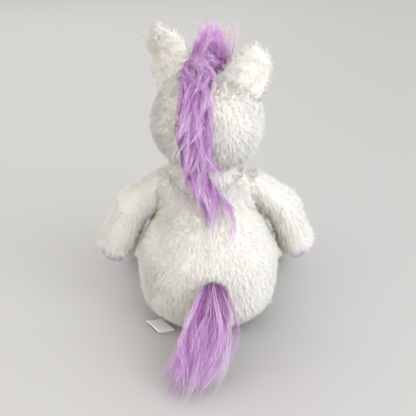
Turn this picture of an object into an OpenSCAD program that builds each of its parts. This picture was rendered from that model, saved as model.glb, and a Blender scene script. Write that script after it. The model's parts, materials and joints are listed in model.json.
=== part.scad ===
// A seated plush unicorn: sewn covers over fibre filling, with a long-pile mane and tail.
// It faces -Y, its left side is +X, and it rests on its seat, whose centre is the origin.
// All lengths are in millimetres and all angles in degrees.

/* [Body] */
// Radius of the belly where it is widest
belly_r = 60; // [58:1:61]
// Height of the widest part of the belly
belly_z = 45; // [44:1:46]
// Radius of the body where it ends at the neck
shoulder_r = 22; // [21:1:23]
// Thickness of the plush fabric with its pile
plush_t = 3; // [2:0.5:3.5]
// Height of the bag of pellets that weighs the seat down
pellet_bag_h = 30; // [24:1:36]

/* [Head] */
// Height of the neck's centre, about which the head turns and nods
neck_z = 130; // [129:1:131]
// Radius of the stuffed neck
neck_r = 25; // [24.5:0.5:25]
// Radius of the back of the head
skull_r = 42; // [41:1:42]
// Radius of the muzzle
muzzle_r = 22; // [20:1:23]
// How far the head is turned to its right as the toy sits
head_turn = 20; // [0:1:25]
// Height of an ear above its seam
ear_h = 42; // [36:1:44]
// Length of the horn
horn_l = 44; // [36:1:46]
// Diameter of a bead eye
eye_d = 9; // [7:0.5:10]

/* [Legs] */
// Radius of a front hoof
front_hoof_r = 16.5; // [15:0.5:17]
// Radius of a hind hoof
hind_hoof_r = 23.5; // [21:0.5:24]
// Length of the lilac cover on a front hoof, up to its tip
front_hoof_l = 14; // [10:1:15]
// Length of the lilac cover on a hind hoof, up to its tip
hind_hoof_l = 19; // [14:1:20]

/* [Mane and tail] */
// Depth of the mane's pile over the head
mane_depth = 13; // [8:1:15]
// Width of the mane's pile
mane_w = 24; // [18:1:24]
// Radius of the tail's pile where it is fullest
tail_r = 16; // [12:1:17]

/* [Hidden] */
$fn = 64;

left = 1;
right = -1;
gap = 0.3;              // between a cover and what fills it
room = 0.6;             // between two pieces that turn against each other
far = 400;              // longer than anything in the toy
cloth_t = 1;            // the pellet bag's cloth
waist = 0.5;            // how far a soft tube draws in between its balls

profile_step = 5;
body_top = neck_z - 2;
taper_end_z = neck_z + 5;
seat_sink = 3;          // how far the belly's curve would reach below the seat
seat_hole_r = 26;

shoulder = [36.5, 0, 116];
foreleg_route = [shoulder, [64, -3, 95], [78, -10, 58]];
foreleg_radii = [13, 15.5, front_hoof_r];
hip = [42, -55, 23];
hind_tip = [62, -128, 24];
hindleg_l = norm(hind_tip - hip);
hip_r = 20;
hind_seam = hindleg_l + hind_hoof_r - hind_hoof_l;
arc_step = 10;

tail_root = [-4, 57, 60];
tail_route = [tail_root, [-3, 75, 54], [2, 92, 24], [10, 140, 9]];
tail_radii = [7, 9, tail_r, 8];
tail_core_r = 4;
tail_dish_r = 14;

neck_centre = [0, 0, neck_z];
skull_centre = [0, 2, neck_z + 39];
muzzle_route = [[0, -16, neck_z + 30], [0, -44, neck_z + 22]];
muzzle_seam = 16;       // the short-pile muzzle starts this far along the snout

mane_lift = 17;         // the head's mane ends this far above the neck's level
backing_t = 1.5;
backing_w = 16;
mane_front_y = -16;
nape_route = [[0, 30.3, neck_z - 4], [0, 36, neck_z - 11], [0, 46, neck_z - 26], [0, 56, neck_z - 43]];
nape_radii = [4.5, 5, 6.5, 4];
nape_spread = 10;

horn_foot = [0, -27, neck_z + 63];
horn_lean = 23;
horn_r = 8;
horn_tip_r = 1.5;
horn_wall = 1.2;
thread_r = 0.5;
thread_turns = 5;
thread_sides = 6;
thread_rings_a_turn = 14;

eye_yaw = 38;
eye_lift = 6;
shank_r = 1.8;
shank_l = 9;
washer_r = 6;
washer_t = 1.2;
washer_depth = plush_t + 1 + washer_t;

ear_w = 27;
ear_t = 5;
lining_t = 1.6;
lining_rim = 3.5;
ear_widest = 12;
ear_tilt = 40;          // how far round the skull from its top an ear's seam lies
ear_lean = 8;
ear_face = 20;          // how far an ear's lining faces in towards the mane
ear_seat = skull_r + 1.4;
lining_seat = ear_seat + 2;

label_w = 22;
label_l = 15;
label_t = 0.8;
label_bearing = 32;

// Radius of the body at a height: a belly that bulges over the seat, then a soft taper to the neck
function body_r(z) =
  z < belly_z
    ? belly_r * pow(1 - pow((belly_z - z) / (belly_z + seat_sink), 2.6), 1 / 2.6)
    : shoulder_r + (belly_r - shoulder_r)
      * (1 + cos(180 * pow((z - belly_z) / (taper_end_z - belly_z), 1.3))) / 2;

function mirrored(points, side) = [for (p = points) [side * p[0], p[1], p[2]]];
function grown(radii, by) = [for (r = radii) r + by];
function first(list, count) = [for (i = [0 : count - 1]) list[i]];

// ---- shared shapes ----

// The body between two heights, drawn in from its surface
module body_solid(inset, bottom, top) {
  levels = [for (z = [bottom : profile_step : top - 1]) z];
  rotate_extrude()
    polygon(concat(
      [[0, bottom]],
      [for (z = levels) [body_r(z) - inset, z]],
      [[body_r(top) - inset, top], [0, top]]
    ));
}

// Turns +Z to point from one place to another, starting there
module aim(from, to) {
  way = to - from;
  translate(from)
    rotate([0, acos(way[2] / norm(way)), atan2(way[1], way[0])])
      children();
}

// A soft tube along a route, with a ball at each point
module soft_tube(route, radii) {
  for (i = [0 : len(route) - 1])
    translate(route[i])
      sphere(r = radii[i]);
  for (i = [0 : len(route) - 2])
    aim(route[i], route[i + 1])
      cylinder(h = norm(route[i + 1] - route[i]), r1 = radii[i] - waist, r2 = radii[i + 1] - waist);
}

// The tip of a foreleg, with +Z running on past it
module at_foreleg_tip(side) {
  route = mirrored(foreleg_route, side);
  aim(route[2], 2 * route[2] - route[1])
    children();
}

// Everything past a foreleg's hoof seam
module past_front_seam(side) {
  at_foreleg_tip(side)
    translate([0, 0, front_hoof_r - front_hoof_l])
      cylinder(h = far, r = 2 * front_hoof_r);
}

// Half the outline of a hind leg, drawn in from its surface: +Y runs from its hip to its hoof
module hindleg_outline(inset) {
  root_r = hip_r - inset;
  tip_r = hind_hoof_r - inset;
  polygon(concat(
    [for (a = [-90 : arc_step : 0]) [root_r * cos(a), root_r * sin(a)]],
    [for (a = [0 : arc_step : 90]) [tip_r * cos(a), hindleg_l + tip_r * sin(a)]]
  ));
}

module past_hind_seam() {
  translate([0, hind_seam])
    square(far);
}

// A hind leg's own place: +Z runs from its hip to its hoof
module at_hindleg(side) {
  aim([side * hip[0], hip[1], hip[2]], [side * hind_tip[0], hind_tip[1], hind_tip[2]])
    children();
}

// Room in the body for the neck, the legs and the tail to turn about their seams
module body_sockets() {
  translate(neck_centre)
    sphere(r = neck_r + gap);
  translate(tail_root)
    sphere(r = tail_dish_r);
  for (side = [left, right]) {
    translate([side * 20, 0, shoulder[2]])
      rotate([0, side * 90, 0])
        cylinder(h = 34, r1 = foreleg_radii[0] + 1, r2 = 33);
    translate([side * hip[0], hip[1], hip[2]])
      sphere(r = hip_r + room);
  }
}

// The head is modelled facing forwards, then turned about the neck
module turned_head() {
  rotate([0, 0, -head_turn])
    children();
}

// The head with its snout, drawn in from its surface
module head_solid(inset) {
  translate(skull_centre)
    sphere(r = skull_r - inset);
  soft_tube(muzzle_route, [muzzle_r + 2 - inset, muzzle_r - inset]);
}

module past_muzzle_seam() {
  aim(muzzle_route[0], muzzle_route[1])
    translate([0, 0, muzzle_seam])
      cylinder(h = far, r = 2 * muzzle_r);
}

module neck_socket() {
  translate(neck_centre)
    sphere(r = neck_r + gap);
}

// Where an eye's shank goes: +Z points out of the head
module at_eye(side) {
  translate(skull_centre)
    rotate([0, 0, side * eye_yaw])
      rotate([90 - eye_lift, 0, 0])
        translate([0, 0, skull_r])
          children();
}

module at_eyes() {
  for (side = [left, right])
    at_eye(side)
      children();
}

// What lies above the head's end of the mane, behind the horn and within a width
module mane_region(width) {
  difference() {
    intersection() {
      translate([-width / 2, mane_front_y, 0])
        cube([width, far, far]);
      translate(neck_centre)
        rotate([mane_lift, 0, 0])
          translate([-far / 2, -far / 2, 0])
            cube([far, far, far]);
    }
    cylinder(h = skull_centre[2], r = neck_r);
  }
}

module mane_layer(inner, depth, width) {
  intersection() {
    difference() {
      translate(skull_centre)
        sphere(r = skull_r + inner + depth);
      translate(skull_centre)
        sphere(r = skull_r + inner);
    }
    mane_region(width);
  }
}

// The horn's own place: +Z runs from its foot to its tip
module at_horn() {
  translate(horn_foot)
    rotate([horn_lean, 0, 0])
      children();
}

// The part of a solid that stands clear of the head
module clear_of_head() {
  difference() {
    children();
    translate(skull_centre)
      sphere(r = skull_r + gap);
  }
}

// An ear's own place: +X runs along its width, +Z to its tip, and -Y is the way its lining faces
module at_ear(side) {
  translate(skull_centre)
    rotate([0, side * ear_tilt, 0])
      translate([0, 0, skull_r])
        rotate([0, side * (ear_lean - ear_tilt), 0])
          rotate([0, 0, -side * ear_face])
            children();
}

// An ear's outline in the plane of its width and height
module ear_outline(rim) {
  arc_r = (pow(ear_h - ear_widest, 2) + pow(ear_w / 2, 2)) / ear_w;
  intersection() {
    translate([arc_r - ear_w / 2, ear_widest])
      circle(r = arc_r - rim);
    translate([ear_w / 2 - arc_r, ear_widest])
      circle(r = arc_r - rim);
    translate([-ear_w, rim - 15])
      square([2 * ear_w, far]);
  }
}

module ear_layer(side, rim, from_y, thickness, seat) {
  difference() {
    at_ear(side)
      translate([0, from_y + thickness, 0])
        rotate([90, 0, 0])
          linear_extrude(height = thickness)
            ear_outline(rim);
    translate(skull_centre)
      sphere(r = seat);
  }
}

// ---- body ----

module seat_panel() {
  color("ivory")
    cylinder(h = plush_t, r = seat_hole_r);
}

module body_cover() {
  color("ivory")
    difference() {
      body_solid(0, 0, body_top);
      body_solid(plush_t, plush_t, body_top);
      translate([0, 0, -1])
        cylinder(h = plush_t + 2, r = seat_hole_r + gap);
      body_sockets();
    }
}

module body_filling() {
  color("white")
    difference() {
      body_solid(plush_t + gap, plush_t + pellet_bag_h + 2 * gap, body_top);
      body_sockets();
    }
}

module pellet_bag() {
  bottom = plush_t + gap;
  color("gainsboro")
    difference() {
      body_solid(plush_t + gap, bottom, plush_t + pellet_bag_h);
      body_sockets();
      difference() {
        body_solid(plush_t + gap + cloth_t, bottom + cloth_t, plush_t + pellet_bag_h - cloth_t);
        for (side = [left, right])
          translate([side * hip[0], hip[1], hip[2]])
            sphere(r = hip_r + room + cloth_t);
      }
    }
}

module pellets() {
  inset = plush_t + cloth_t + 2 * gap;
  color("silver")
    difference() {
      body_solid(inset, inset, plush_t + pellet_bag_h - cloth_t - gap);
      for (side = [left, right])
        translate([side * hip[0], hip[1], hip[2]])
          sphere(r = hip_r + room + cloth_t + gap);
    }
}

module closing_stitches() {
  stitch_l = 4;
  stitch_r = 0.5;
  color("wheat")
    for (z = [74 : 3 : 86])
      translate([-stitch_l / 2, body_r(z) + 1, z])
        rotate([0, 90, 0])
          cylinder(h = stitch_l, r = stitch_r);
}

module label() {
  color("white")
    rotate([0, 0, label_bearing])
      translate([body_r(plush_t) + 1, -label_w / 2, 1])
        cube([label_l, label_w, label_t]);
}

// ---- neck ----

module neck_cover() {
  color("ivory")
    translate(neck_centre)
      difference() {
        sphere(r = neck_r);
        sphere(r = neck_r - plush_t);
      }
}

module neck_filling() {
  color("white")
    translate(neck_centre)
      sphere(r = neck_r - plush_t - gap);
}

module mane_nape_lock() {
  color("plum")
    turned_head()
      for (turn = [-nape_spread, 0, nape_spread])
        rotate([0, 0, turn])
          soft_tube(nape_route, nape_radii);
}

// ---- head ----

module head_cover() {
  color("ivory")
    turned_head()
      difference() {
        head_solid(0);
        head_solid(plush_t);
        neck_socket();
        past_muzzle_seam();
        at_eyes()
          translate([0, 0, -shank_l])
            cylinder(h = 2 * shank_l, r = shank_r + gap / 2);
      }
}

module muzzle_cover() {
  color("linen")
    turned_head()
      intersection() {
        difference() {
          soft_tube(muzzle_route, [muzzle_r + 2, muzzle_r]);
          head_solid(plush_t);
        }
        past_muzzle_seam();
      }
}

module head_filling() {
  color("white")
    turned_head()
      difference() {
        head_solid(plush_t + gap);
        neck_socket();
        at_eyes()
          translate([0, 0, -shank_l - gap])
            cylinder(h = 2 * shank_l, r = shank_r + gap);
        at_eyes()
          translate([0, 0, -washer_depth - gap])
            cylinder(h = 2 * shank_l, r = washer_r + gap);
      }
}

module mane_backing() {
  color("mediumpurple")
    turned_head()
      mane_layer(gap, backing_t, backing_w);
}

module mane_pile() {
  color("plum")
    turned_head()
      mane_layer(backing_t + 2 * gap, mane_depth, mane_w);
}

module horn_cover() {
  color("tan")
    turned_head()
      clear_of_head()
        at_horn()
          difference() {
            cylinder(h = horn_l, r1 = horn_r, r2 = horn_tip_r);
            translate([0, 0, -1])
              cylinder(h = horn_l - 4, r1 = horn_r - horn_wall, r2 = horn_tip_r - 0.4);
          }
}

module horn_filling() {
  color("white")
    turned_head()
      clear_of_head()
        at_horn()
          cylinder(h = horn_l - 6, r1 = horn_r - horn_wall - gap, r2 = 1);
}

// The thread that draws the horn into a twist: one tube wound up the cone
module horn_thread() {
  start = 11;
  finish = horn_l - 2;
  rings = thread_turns * thread_rings_a_turn;
  function cone_r(h) = horn_r + (horn_tip_r - horn_r) * h / horn_l;
  function wound(i) = start + (finish - start) * i / rings;
  points = [
    for (i = [0 : rings], k = [0 : thread_sides - 1])
      let (
        h = wound(i),
        turn = 360 * i / thread_rings_a_turn,
        out = cone_r(h) + thread_r + 0.2 + thread_r * cos(360 * k / thread_sides)
      )
      [out * cos(turn), out * sin(turn), h + thread_r * sin(360 * k / thread_sides)]
  ];
  sides = [
    for (i = [0 : rings - 1], k = [0 : thread_sides - 1])
      let (next = (k + 1) % thread_sides)
      [i * thread_sides + k, i * thread_sides + next,
       (i + 1) * thread_sides + next, (i + 1) * thread_sides + k]
  ];
  foot = [for (k = [0 : thread_sides - 1]) thread_sides - 1 - k];
  head = [for (k = [0 : thread_sides - 1]) rings * thread_sides + k];
  color("goldenrod")
    turned_head()
      at_horn()
        polyhedron(points = points, faces = concat([foot], sides, [head]));
}

module eye(side) {
  bead_r = eye_d / 2;
  color("black")
    turned_head()
      at_eye(side) {
        translate([0, 0, 0.4])
          intersection() {
            translate([0, 0, -bead_r / 4])
              sphere(r = bead_r);
            cylinder(h = bead_r, r = bead_r);
          }
        translate([0, 0, -shank_l])
          cylinder(h = shank_l + 1, r = shank_r);
      }
}

module eye_washer(side) {
  color("gainsboro")
    turned_head()
      at_eye(side)
        translate([0, 0, -washer_depth])
          difference() {
            cylinder(h = washer_t, r = washer_r);
            translate([0, 0, -1])
              cylinder(h = washer_t + 2, r = shank_r + 0.1);
          }
}

module nostril(side) {
  color("rosybrown")
    turned_head()
      translate(muzzle_route[1])
        rotate([0, 0, side * 24])
          rotate([86, 0, 0])
            translate([0, 0, muzzle_r + 0.1])
              cylinder(h = 0.8, r = 2.2);
}

module mouth_stitch() {
  color("rosybrown")
    turned_head()
      translate(muzzle_route[1])
        rotate([22, 0, 0])
          rotate([0, 0, -122])
            rotate_extrude(angle = 64)
              translate([muzzle_r + 0.8, 0])
                circle(r = 0.6);
}

// ---- ears ----

module ear(side) {
  color("ivory")
    turned_head()
      ear_layer(side, 0, -ear_t / 2, ear_t, ear_seat);
}

module ear_lining(side) {
  color("pink")
    turned_head()
      ear_layer(side, lining_rim, -ear_t / 2 - gap - lining_t, lining_t, lining_seat);
}

// ---- legs ----

module foreleg_cover(side) {
  route = mirrored(foreleg_route, side);
  color("ivory")
    difference() {
      soft_tube(route, foreleg_radii);
      soft_tube(route, grown(foreleg_radii, -plush_t));
      past_front_seam(side);
    }
}

module foreleg_filling(side) {
  color("white")
    soft_tube(mirrored(foreleg_route, side), grown(foreleg_radii, -plush_t - gap));
}

module front_hoof(side) {
  color("thistle")
    difference() {
      intersection() {
        at_foreleg_tip(side)
          sphere(r = front_hoof_r);
        past_front_seam(side);
      }
      at_foreleg_tip(side)
        sphere(r = front_hoof_r - plush_t);
    }
}

module hindleg_cover(side) {
  color("ivory")
    at_hindleg(side)
      rotate_extrude()
        difference() {
          hindleg_outline(0);
          hindleg_outline(plush_t);
          past_hind_seam();
        }
}

module hindleg_filling(side) {
  color("white")
    at_hindleg(side)
      rotate_extrude()
        hindleg_outline(plush_t + gap);
}

module hind_hoof(side) {
  color("thistle")
    at_hindleg(side)
      rotate_extrude()
        intersection() {
          difference() {
            hindleg_outline(0);
            hindleg_outline(plush_t);
          }
          past_hind_seam();
        }
}

// ---- tail ----

module tail_core() {
  color("mediumpurple")
    soft_tube(first(tail_route, 3), [tail_core_r, tail_core_r, tail_core_r]);
}

module tail_pile() {
  core_hole = tail_core_r + gap;
  color("plum")
    difference() {
      soft_tube(tail_route, tail_radii);
      soft_tube(first(tail_route, 3), [core_hole, core_hole, core_hole]);
    }
}

seat_panel();
body_cover();
body_filling();
pellet_bag();
pellets();
closing_stitches();
label();
neck_cover();
neck_filling();
mane_nape_lock();
head_cover();
head_filling();
muzzle_cover();
mane_backing();
mane_pile();
horn_cover();
horn_filling();
horn_thread();
eye(left);  // eye_left
eye(right);  // eye_right
eye_washer(left);  // eye_washer_left
eye_washer(right);  // eye_washer_right
nostril(left);  // nostril_left
nostril(right);  // nostril_right
mouth_stitch();
ear(left);  // ear_left
ear(right);  // ear_right
ear_lining(left);  // ear_lining_left
ear_lining(right);  // ear_lining_right
foreleg_cover(left);  // foreleg_cover_left
foreleg_cover(right);  // foreleg_cover_right
foreleg_filling(left);  // foreleg_filling_left
foreleg_filling(right);  // foreleg_filling_right
front_hoof(left);  // front_hoof_left
front_hoof(right);  // front_hoof_right
hindleg_cover(left);  // hindleg_cover_left
hindleg_cover(right);  // hindleg_cover_right
hindleg_filling(left);  // hindleg_filling_left
hindleg_filling(right);  // hindleg_filling_right
hind_hoof(left);  // hind_hoof_left
hind_hoof(right);  // hind_hoof_right
tail_core();
tail_pile();
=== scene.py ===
"""A seated plush unicorn, stuffed, sewn and brushed around its CAD frame. Lengths are in metres."""

import json
import math
from contextlib import contextmanager

import bpy
import numpy as np
from mathutils import Matrix, Vector, kdtree, noise


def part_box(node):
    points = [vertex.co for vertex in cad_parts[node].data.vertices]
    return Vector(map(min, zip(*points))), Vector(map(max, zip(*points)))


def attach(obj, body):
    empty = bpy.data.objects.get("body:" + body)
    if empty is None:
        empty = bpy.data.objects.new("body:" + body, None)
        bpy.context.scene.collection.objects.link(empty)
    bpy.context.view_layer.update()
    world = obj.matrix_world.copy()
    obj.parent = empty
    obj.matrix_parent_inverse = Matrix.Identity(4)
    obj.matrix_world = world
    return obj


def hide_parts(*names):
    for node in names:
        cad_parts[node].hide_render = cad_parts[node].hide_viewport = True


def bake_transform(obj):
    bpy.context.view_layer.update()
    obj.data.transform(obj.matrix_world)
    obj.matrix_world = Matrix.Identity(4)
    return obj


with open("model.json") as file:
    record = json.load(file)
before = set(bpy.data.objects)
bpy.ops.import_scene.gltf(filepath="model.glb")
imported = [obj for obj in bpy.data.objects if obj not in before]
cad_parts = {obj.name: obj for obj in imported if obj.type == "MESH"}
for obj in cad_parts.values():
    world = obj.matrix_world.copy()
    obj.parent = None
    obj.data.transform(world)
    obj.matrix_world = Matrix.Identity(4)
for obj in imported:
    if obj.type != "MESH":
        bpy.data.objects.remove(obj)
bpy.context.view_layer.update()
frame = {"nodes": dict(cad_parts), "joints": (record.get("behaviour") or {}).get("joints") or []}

bl_info = {
    "name": "Plush Unicorn",
    "version": (1, 0, 0),
    "blender": (4, 5, 0),
    "location": "3D View > Sidebar > Plush Unicorn",
    "description": "Stuffs, sews and brushes a seated plush unicorn around its CAD frame",
    "category": "Object",
}

MM = 0.001
JOINTS = {joint["name"]: joint for joint in frame["joints"]}
LEFT, RIGHT = 1, -1
SIDE_NAMES = {LEFT: "left", RIGHT: "right"}

# ---- places, worked out from the frame ----

NECK = np.array(JOINTS["head_turn"]["pos_m"])
NECK_R = (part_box("neck_cover")[1].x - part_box("neck_cover")[0].x) / 2
NOD_AXIS = JOINTS["head_nod"]["axis"]
HEAD_TURN = math.atan2(NOD_AXIS[1], NOD_AXIS[0])
SKULL_R = 42 * MM
SKULL = np.array([0, 2 * MM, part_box("head_cover")[1].z - SKULL_R])
SNOUT_FOOT = NECK + np.array([0, -16, 30]) * MM
SNOUT_TIP = NECK + np.array([0, -44, 22]) * MM
SNOUT_R = 22 * MM
SNOUT_SEAM = 16 * MM
HORN_FOOT = NECK + np.array([0, -27, 63]) * MM
HORN_LEAN = math.radians(23)
HORN_THREAD_START = 11 * MM
HORN_THREAD_TURNS = 5
EAR_TILT, EAR_LEAN, EAR_FACE = (math.radians(a) for a in (40, 8, 20))
TAIL_ROOT = np.array(JOINTS["tail_swing"]["pos_m"])
SHOULDER_BALL = {LEFT: (np.array([25, 0, 113.5]) * MM, 20 * MM),
                 RIGHT: (np.array([-24, 1, 113]) * MM, 18 * MM)}
HOOF_SEAM_WIDTH = 2 * MM
BACK_SEAM_X = 2 * MM


def turn_about_z(points, angle):
    """Points turned about the upright axis."""
    c, s = math.cos(angle), math.sin(angle)
    return points @ np.array([[c, s, 0], [-s, c, 0], [0, 0, 1]])


def from_head(points):
    """Points given facing forwards, moved to where the turned head has them."""
    return turn_about_z(np.asarray(points, float), HEAD_TURN)


def to_head(points):
    """Points of the turned head, as they are when it faces forwards."""
    return turn_about_z(np.asarray(points, float), -HEAD_TURN)


def node_points(node):
    """A CAD node's vertices."""
    mesh = frame["nodes"][node].data
    points = np.empty(len(mesh.vertices) * 3)
    mesh.vertices.foreach_get("co", points)
    return points.reshape(-1, 3)


def body_outline():
    """Heights and radii of the body's outside, from its cover."""
    points = node_points("body_cover")
    heights = np.round(points[:, 2], 5)
    radii = np.hypot(points[:, 0], points[:, 1])
    levels = np.unique(heights)
    widest = np.array([radii[heights == level].max() for level in levels])
    outside = widest > 0.9 * np.interp(levels, levels[widest > 20 * MM], widest[widest > 20 * MM])
    return levels[outside], widest[outside]


BODY_Z, BODY_R = body_outline()


def body_radius(z):
    """Radius of the body at a height."""
    return np.interp(z, BODY_Z, BODY_R)


# ---- settings a user would change ----

def amount(name, description, default, least=0, most=1000, **facts):
    """A setting that is a number."""
    return bpy.props.FloatProperty(
        name=name, description=description, default=default, min=least, max=most, **facts)


def length(name, description, default):
    """A setting that is a length."""
    return amount(name, description, default, unit="LENGTH", precision=4)


def colour(name, description, default):
    """A setting that is a colour."""
    return bpy.props.FloatVectorProperty(
        name=name, description=description, default=default, subtype="COLOR", size=3, min=0, max=1)


class PlushSettings(bpy.types.PropertyGroup):
    """The cream plush of the body, head, legs and ears"""

    pile: length("Pile length", "How long the plush pile is", 7.5 * MM)
    short_pile: length("Short pile length", "Pile of the muzzle and the ear linings", 3.2 * MM)
    hair: length("Hair thickness", "Thickness of a tuft at its root", 0.34 * MM)
    density: amount("Density", "Tufts on each square millimetre", 2.83, 0.2, 4)
    skin_depth: length("Skin depth", "How far the stuffed skin lies under the pile's outside", 4.5 * MM)
    white: colour("White", "The plush where it is brightest", (0.945, 0.94, 0.92))
    # Painted shade: cream colours the roots of the pile, as shade deep in it, and is also the darker cloud of
    # the skin. Crease is a painted warm shade for the creases beside the legs, and it also tints clumps at
    # random.
    cream: colour("Cream", "The plush in its hollows", (0.90, 0.855, 0.745))
    crease: colour("Crease", "The plush deep in a crease", (0.93, 0.80, 0.52))
    lining: colour("Ear lining", "Short pile inside an ear", (0.88, 0.60, 0.62))
    lilac: colour("Hooves", "Short pile of the hooves", (0.74, 0.58, 0.81))
    muzzle: colour("Muzzle", "Short pile of the muzzle", (0.90, 0.86, 0.80))


class ManeSettings(bpy.types.PropertyGroup):
    """The long lilac pile of the mane and the tail"""

    strand: length("Strand thickness", "Thickness of a strand at its root", 0.30 * MM)
    root: colour("Root", "Colour at the roots", (0.16, 0.010, 0.14))
    middle: colour("Middle", "Colour along the strands", (0.50, 0.14, 0.56))
    tip: colour("Tip", "Colour at the tips", (0.80, 0.50, 0.88))
    pale: colour("Pale", "Colour of the palest strands", (0.95, 0.86, 0.97))


class StageSettings(bpy.types.PropertyGroup):
    """Floor, light and camera"""

    floor: colour("Floor", "Colour of the floor", (0.435, 0.43, 0.427))
    sky: amount("Fill light", "Light from all round", 1.08)
    key: amount("Window light", "Power of the large soft light", 22.0)
    lens: amount("Lens", "Focal length in millimetres", 79.3, 10)


SETTINGS = {"unicorn_plush": PlushSettings, "unicorn_mane": ManeSettings, "unicorn_stage": StageSettings}


def plush():
    return bpy.context.scene.unicorn_plush


def mane():
    return bpy.context.scene.unicorn_mane


# ---- materials ----

FIBRE_MAP = "OFBake"
SHADES = 32
VIEWPORT_GREY = (0.8, 0.8, 0.8, 1)
MIX_A, MIX_B, MIX_RESULT = 6, 7, 2  # the colour sockets of a Mix node


class Nodes:
    """Adds and joins the nodes of a material or of a node group."""

    def __init__(self, tree):
        self.tree = tree

    def add(self, kind, inputs=(), **facts):
        """A new node with its facts set, and its inputs set or joined to sockets."""
        node = self.tree.nodes.new(kind)
        for name, value in facts.items():
            setattr(node, name, value)
        for key, value in dict(inputs).items():
            self.put(node.inputs[key], value)
        return node

    def put(self, socket, value):
        if isinstance(value, bpy.types.NodeSocket):
            self.tree.links.new(value, socket)
        elif socket.type == "RGBA" and len(value) == 3:
            socket.default_value = (*value, 1)
        else:
            socket.default_value = value

    def mix(self, factor, a, b):
        """Colour a, which turns into colour b as the factor goes from 0 to 1."""
        node = self.add("ShaderNodeMix", data_type="RGBA")
        for key, value in (("Factor", factor), (MIX_A, a), (MIX_B, b)):
            self.put(node.inputs[key], value)
        return node.outputs[MIX_RESULT]

    def maths(self, operation, *values):
        return self.add("ShaderNodeMath", enumerate(values), operation=operation).outputs[0]


def join_fibre(nodes, given, out):
    """Colour of a fibre: from its root to its tip, and from its darkest to its palest shade."""
    place = nodes.add("ShaderNodeSeparateXYZ", {0: nodes.add("ShaderNodeUVMap", uv_map=FIBRE_MAP).outputs[0]})
    column = nodes.maths("FLOOR", nodes.maths("MULTIPLY", place.outputs[0], SHADES))
    shade = nodes.maths("DIVIDE", column, SHADES - 1)
    along = place.outputs[1]
    rooted = nodes.maths("MINIMUM", nodes.maths("DIVIDE", along, given["Root Length"]), 1.0)
    lower = nodes.mix(rooted, given["Root"], given["Middle"])
    tint = nodes.mix(nodes.maths("POWER", along, 1.6), lower, given["Tip"])
    strength = nodes.maths("MULTIPLY", shade, nodes.maths("ADD", nodes.maths("MULTIPLY", along, 0.7), 0.3))
    nodes.put(out.inputs["Color"], nodes.mix(strength, tint, given["Pale"]))


def join_mottle(nodes, given, out):
    """Cloudy mix of two colours with a fine height that follows it."""
    where = nodes.add("ShaderNodeTexCoord").outputs["Object"]
    patch, grain = (
        nodes.add("ShaderNodeTexNoise", {"Vector": where, "Scale": given[scale], "Detail": detail}).outputs[0]
        for scale, detail in (("Patch Scale", 4), ("Grain Scale", 2)))
    nodes.put(out.inputs["Color"], nodes.mix(patch, given["Light"], given["Dark"]))
    nodes.put(out.inputs["Height"], nodes.maths("ADD", grain, patch))


def join_weave(nodes, given, out):
    """Plain weave: threads over and under each other, with a little colour change."""
    where = nodes.add("ShaderNodeTexCoord").outputs["Object"]
    threads = {"Vector": where, "Scale": given["Threads"]}
    waves = [nodes.add("ShaderNodeTexWave", threads, bands_direction=axis).outputs[1] for axis in "XZ"]
    crossing = nodes.maths("MULTIPLY", *waves)
    cloud = nodes.add("ShaderNodeTexNoise", {"Vector": where, "Scale": 150.0}).outputs[0]
    mask = nodes.maths("MULTIPLY", nodes.maths("ADD", crossing, cloud), 0.6)
    nodes.put(out.inputs["Color"], nodes.mix(mask, given["Dark"], given["Light"]))
    nodes.put(out.inputs["Height"], crossing)


COLOUR, NUMBER = "NodeSocketColor", "NodeSocketFloat"
GREY = (0.5, 0.5, 0.5, 1)
GROUPS = {
    "Fibre Colour": (join_fibre, ("Root", "Middle", "Tip", "Pale"), {"Root Length": 0.3}, {"Color": COLOUR}),
    "Mottled Cloth": (join_mottle, ("Light", "Dark"), {"Patch Scale": 60, "Grain Scale": 900},
                      {"Color": COLOUR, "Height": NUMBER}),
    "Plain Weave": (join_weave, ("Light", "Dark"), {"Threads": 1200}, {"Color": COLOUR, "Height": NUMBER}),
}


def group(name):
    """A shared node group, made the first time it is asked for."""
    if name in bpy.data.node_groups:
        return bpy.data.node_groups[name]
    fill_in, colours, numbers, outputs = GROUPS[name]
    tree = bpy.data.node_groups.new(name, "ShaderNodeTree")
    for label in colours:
        tree.interface.new_socket(label, in_out="INPUT", socket_type=COLOUR).default_value = GREY
    for label, default in numbers.items():
        tree.interface.new_socket(label, in_out="INPUT", socket_type=NUMBER).default_value = default
    for label, kind in outputs.items():
        tree.interface.new_socket(label, in_out="OUTPUT", socket_type=kind)
    nodes = Nodes(tree)
    fill_in(nodes, nodes.add("NodeGroupInput").outputs, nodes.add("NodeGroupOutput"))
    return tree


def material(name, group_name, inputs, shader_values, bump=0, depth=0):
    """A material that takes its colour from a shared node group, and its relief where it has a bump."""
    if name in bpy.data.materials:
        return bpy.data.materials[name]
    made = bpy.data.materials.new(name)
    made.use_nodes = True
    made.diffuse_color = VIEWPORT_GREY
    nodes = Nodes(made.node_tree)
    shader = made.node_tree.nodes["Principled BSDF"]
    for key, value in shader_values.items():
        shader.inputs[key].default_value = value
    plain = {key: value if np.isscalar(value) else tuple(value) for key, value in inputs.items()}
    cloth = nodes.add("ShaderNodeGroup", plain, node_tree=group(group_name))
    nodes.put(shader.inputs["Base Color"], cloth.outputs["Color"])
    if bump:
        relief = nodes.add(
            "ShaderNodeBump", {"Height": cloth.outputs["Height"], "Strength": bump, "Distance": depth})
        nodes.put(shader.inputs["Normal"], relief.outputs[0])
    return made


def fibre(name, root, middle, tip, pale, root_length, roughness=0.85, sheen=0.25, gloss=0.3):
    """Pile or strands, coloured along each fibre."""
    return material(
        name, "Fibre Colour",
        {"Root": root, "Middle": middle, "Tip": tip, "Pale": pale, "Root Length": root_length},
        {"Roughness": roughness, "Sheen Weight": sheen, "Specular IOR Level": gloss})


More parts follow.
